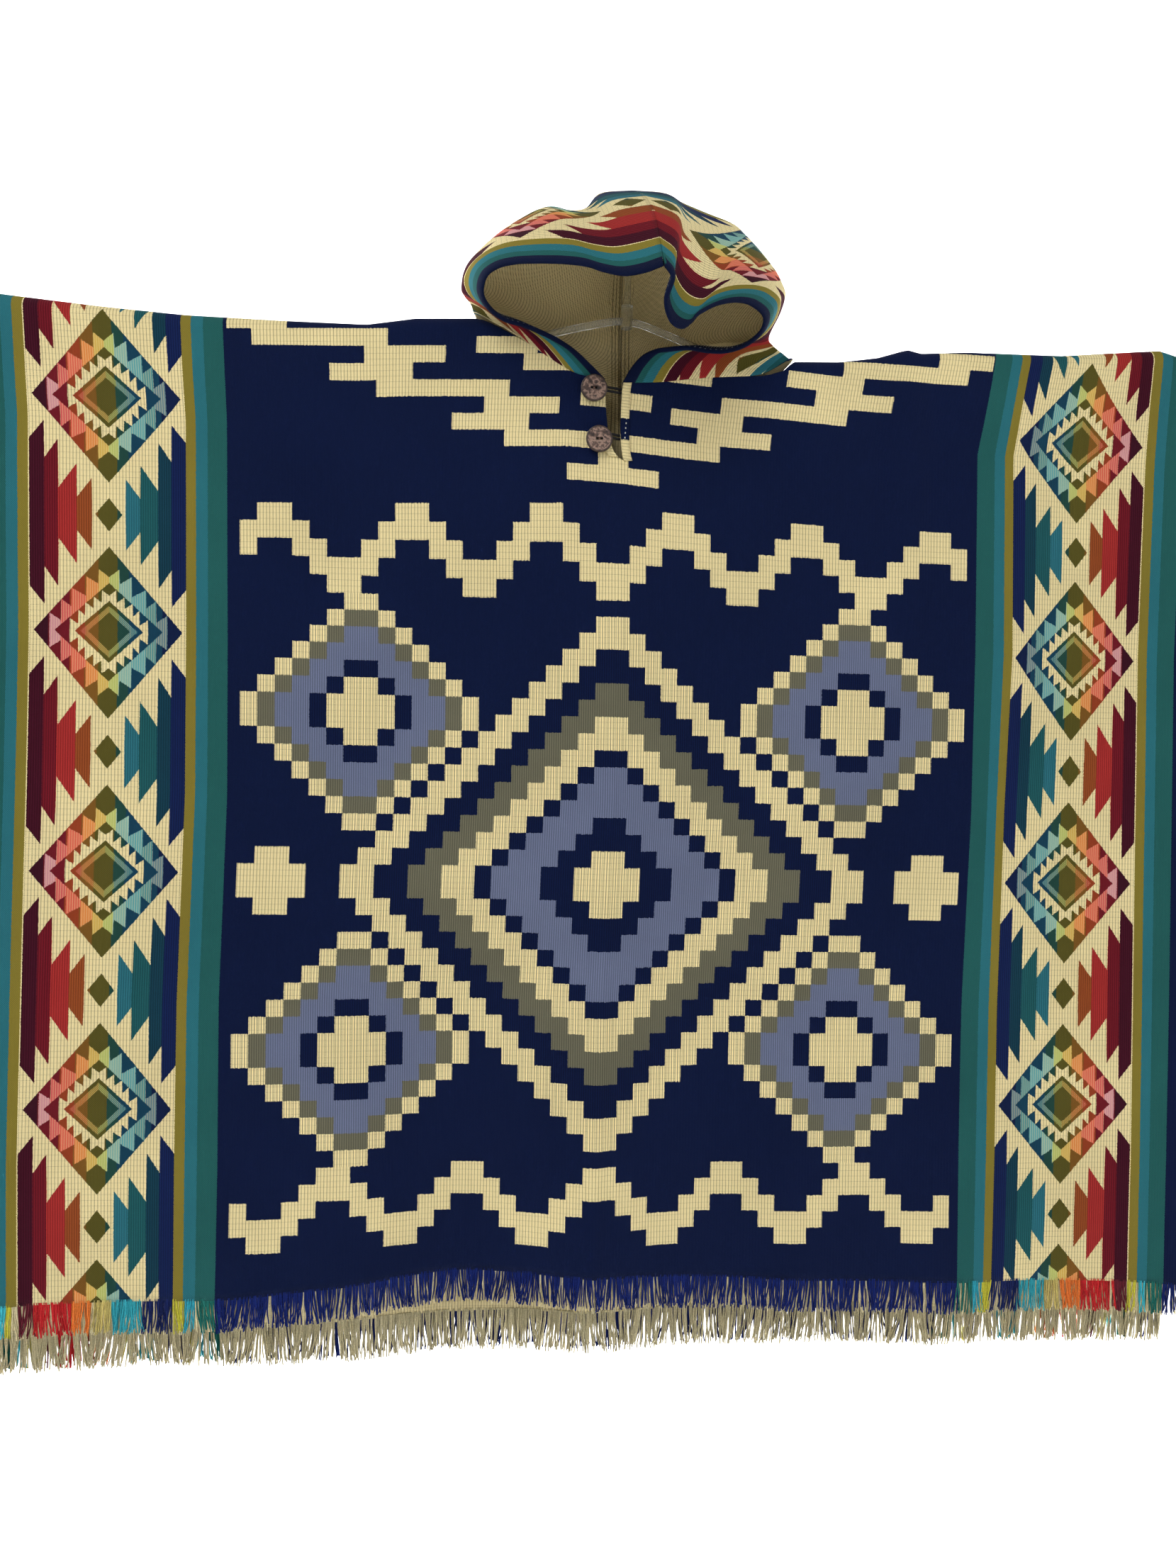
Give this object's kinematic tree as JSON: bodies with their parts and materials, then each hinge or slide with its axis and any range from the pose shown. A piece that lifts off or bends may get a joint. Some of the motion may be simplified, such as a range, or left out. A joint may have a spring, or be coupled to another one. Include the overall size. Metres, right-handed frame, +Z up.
{
  "type": "hooded alpaca poncho on a clear plastic hanger",
  "caption": "Wide fringed poncho with a soft two-piece hood, a short buttoned front slit and open sides, hung by its hood from a clear plastic hanger.",
  "frame": {"origin": "seat of the hanger's hook: the highest point of the inside of its bend, where it hangs on a rail", "axes": "+X to the right seen from the front, across the shoulders; +Y from the front of the garment to its back; +Z up"},
  "size_m": [1.1947, 0.1933, 1.1411],
  "materials": {
    "navy_cloth": "brushed navy double weave with coloured side bands",
    "band_cloth": "brushed double weave with serrated diamonds on cream",
    "cream_cloth": "ribbed cream weave",
    "fringe_yarn": "loose spun yarn in navy, cream and the band colours",
    "coconut_shell": "polished mottled coconut shell",
    "elastic": "covered round elastic and thread",
    "clear_plastic": "clear moulded plastic"
  },
  "bodies": {
    "root": {"front_panel": "navy_cloth", "back_panel": "navy_cloth", "hood_left": "band_cloth", "hood_right": "band_cloth", "slit_hem_left": "cream_cloth", "slit_hem_right": "cream_cloth", "front_fringe": "fringe_yarn", "back_fringe": "fringe_yarn", "button_upper": "coconut_shell", "button_lower": "coconut_shell", "button_thread_upper": "elastic", "button_thread_lower": "elastic", "loop_upper": "elastic", "loop_lower": "elastic", "hanger_arms": "clear_plastic", "hanger_hook": "clear_plastic"}
  },
  "joints": []
}
